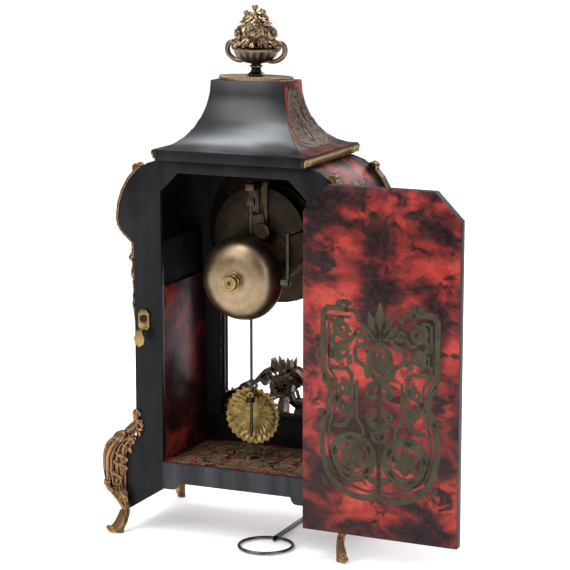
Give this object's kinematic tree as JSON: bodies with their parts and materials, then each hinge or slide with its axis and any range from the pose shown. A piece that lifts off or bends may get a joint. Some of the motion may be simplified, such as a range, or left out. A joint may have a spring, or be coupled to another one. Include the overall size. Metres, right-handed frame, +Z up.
{
  "type": "bracket clock",
  "caption": "Mantel clock: waisted veneered case on scrolled gilt feet, caddy roof with urn, open back door, pendulum movement with bell, winding key.",
  "frame": {"origin": "centre of the base board's underside, 56 mm above the surface that the clock stands on", "axes": "+Z up; the dial and the glazed door face -Y, the back door faces +Y; +X is to the right of someone who reads the dial"},
  "size_m": [0.353, 0.1521, 0.48],
  "materials": {
    "lacquer": "black lacquer, worn grey at the edges",
    "tortoiseshell": "polished red tortoiseshell veneer with brass inlay",
    "dark_wood": "stained wood",
    "gilt": "fire-gilt bronze with dark recesses",
    "brass": "aged brass",
    "dark_brass": "tarnished brass",
    "bell_metal": "turned bell metal, dull",
    "steel": "grey steel",
    "iron": "dark oiled iron",
    "enamel": "glossy",
    "glass": "clear"
  },
  "bodies": {
    "case": {"base_board": "dark_wood", "back_frame": "lacquer", "front_frame": "tortoiseshell", "side_left": "tortoiseshell", "side_right": "tortoiseshell", "lining_left": "tortoiseshell", "lining_right": "tortoiseshell", "cornice_board": "lacquer", "cornice_moulding": "gilt", "roof": "tortoiseshell", "roof_plate": "gilt", "finial_urn": "gilt", "finial_bouquet": "gilt", "foot_back_left": "gilt", "foot_back_right": "gilt", "foot_front_left": "gilt", "foot_front_right": "gilt", "corner_mount_back_left": "gilt", "corner_mount_back_right": "gilt", "corner_mount_front_left": "gilt", "corner_mount_front_right": "gilt", "apron_mount": "gilt", "back_hinge_leaf_lower": "brass", "back_hinge_leaf_upper": "brass", "latch_screw": "steel", "front_hinge_leaf": "brass", "dial_plate": "gilt", "front_plate": "brass", "back_plate": "dark_brass", "suspension_cock": "dark_brass", "bell": "bell_metal", "bell_stand": "steel", "bell_nut": "brass", "winding_key": "iron"},
    "back_door": {"back_door": "tortoiseshell", "back_hinge_strap_lower": "brass", "back_hinge_strap_upper": "brass"},
    "latch": {"latch_hook": "brass"},
    "front_door": {"front_door": "tortoiseshell", "front_glass": "glass", "glass_bead": "brass", "window_relief": "gilt", "front_hinge_strap": "brass"},
    "minute_arbor": {"minute_hand": "iron", "hand_nut": "brass", "centre_arbor": "brass"},
    "hour_hand": {"hour_hand": "iron"},
    "going_barrel": {"going_barrel": "brass"},
    "third_wheel": {"third_wheel": "brass"},
    "escape_wheel": {"escape_wheel": "brass"},
    "going_winder": {"going_winding_arbor": "steel"},
    "strike_barrel": {"strike_barrel": "brass"},
    "strike_winder": {"strike_winding_arbor": "steel", "count_wheel": "brass"},
    "pendulum": {"pendulum_rod": "iron", "pendulum_bob": "brass", "rating_nut": "brass"},
    "anchor": {"anchor_crutch": "steel"},
    "hammer": {"strike_hammer": "steel"}
  },
  "joints": [
    {"name": "back_door_hinge", "type": "hinge", "parent": "case", "child": "back_door", "pos_m": [-0.0745, 0.0619, 0.144], "axis": [0, 0, -1], "range_deg": [0, 178]},
    {"name": "latch_turn", "type": "hinge", "parent": "case", "child": "latch", "pos_m": [0.0875, 0.053, 0.144], "axis": [0, 1, 0], "range_deg": [0, 90]},
    {"name": "front_door_hinge", "type": "hinge", "parent": "case", "child": "front_door", "pos_m": [0.0739, -0.0619, 0.127], "axis": [0, 0, 1], "range_deg": [0, 120]},
    {"name": "minute_turn", "type": "hinge", "parent": "case", "child": "minute_arbor", "pos_m": [0, -0.033, 0.216], "axis": [0, 1, 0], "continuous": true},
    {"name": "hour_turn", "type": "hinge", "parent": "case", "child": "hour_hand", "pos_m": [0, -0.04, 0.216], "axis": [0, 1, 0], "continuous": true},
    {"name": "going_barrel_turn", "type": "hinge", "parent": "case", "child": "going_barrel", "pos_m": [0.02093, -0.02, 0.20487], "axis": [0, 1, 0], "continuous": true},
    {"name": "third_wheel_turn", "type": "hinge", "parent": "case", "child": "third_wheel", "pos_m": [-0.009, -0.02, 0.23159], "axis": [0, 1, 0], "continuous": true},
    {"name": "escape_wheel_turn", "type": "hinge", "parent": "case", "child": "escape_wheel", "pos_m": [0, -0.02, 0.24457], "axis": [0, 1, 0], "continuous": true},
    {"name": "going_winding", "type": "hinge", "parent": "case", "child": "going_winder", "pos_m": [0.02093, -0.02, 0.20487], "axis": [0, 1, 0], "continuous": true},
    {"name": "strike_barrel_turn", "type": "hinge", "parent": "case", "child": "strike_barrel", "pos_m": [-0.02093, -0.02, 0.20487], "axis": [0, 1, 0], "continuous": true},
    {"name": "strike_winding", "type": "hinge", "parent": "case", "child": "strike_winder", "pos_m": [-0.02093, -0.02, 0.20487], "axis": [0, 1, 0], "continuous": true},
    {"name": "pendulum_swing", "type": "hinge", "parent": "case", "child": "pendulum", "pos_m": [0, 0.012, 0.2575], "axis": [0, 1, 0], "range_deg": [-4, 4]},
    {"name": "anchor_rock", "type": "hinge", "parent": "case", "child": "anchor", "pos_m": [0, -0.02, 0.2575], "axis": [0, 1, 0], "range_deg": [-4, 4]},
    {"name": "hammer_lift", "type": "hinge", "parent": "case", "child": "hammer", "pos_m": [-0.0415, 0, 0.223], "axis": [0, 1, 0], "range_deg": [0, 12], "stiffness_Nm_per_rad": 0.005, "springref_deg": -11.46}
  ],
  "couplings": [
    {"joint": "hour_turn", "follows": "minute_turn", "ratio": 0.083333},
    {"joint": "going_barrel_turn", "follows": "minute_turn", "ratio": -0.16667},
    {"joint": "third_wheel_turn", "follows": "minute_turn", "ratio": -9},
    {"joint": "escape_wheel_turn", "follows": "minute_turn", "ratio": 90},
    {"joint": "anchor_rock", "follows": "pendulum_swing", "ratio": 1}
  ]
}
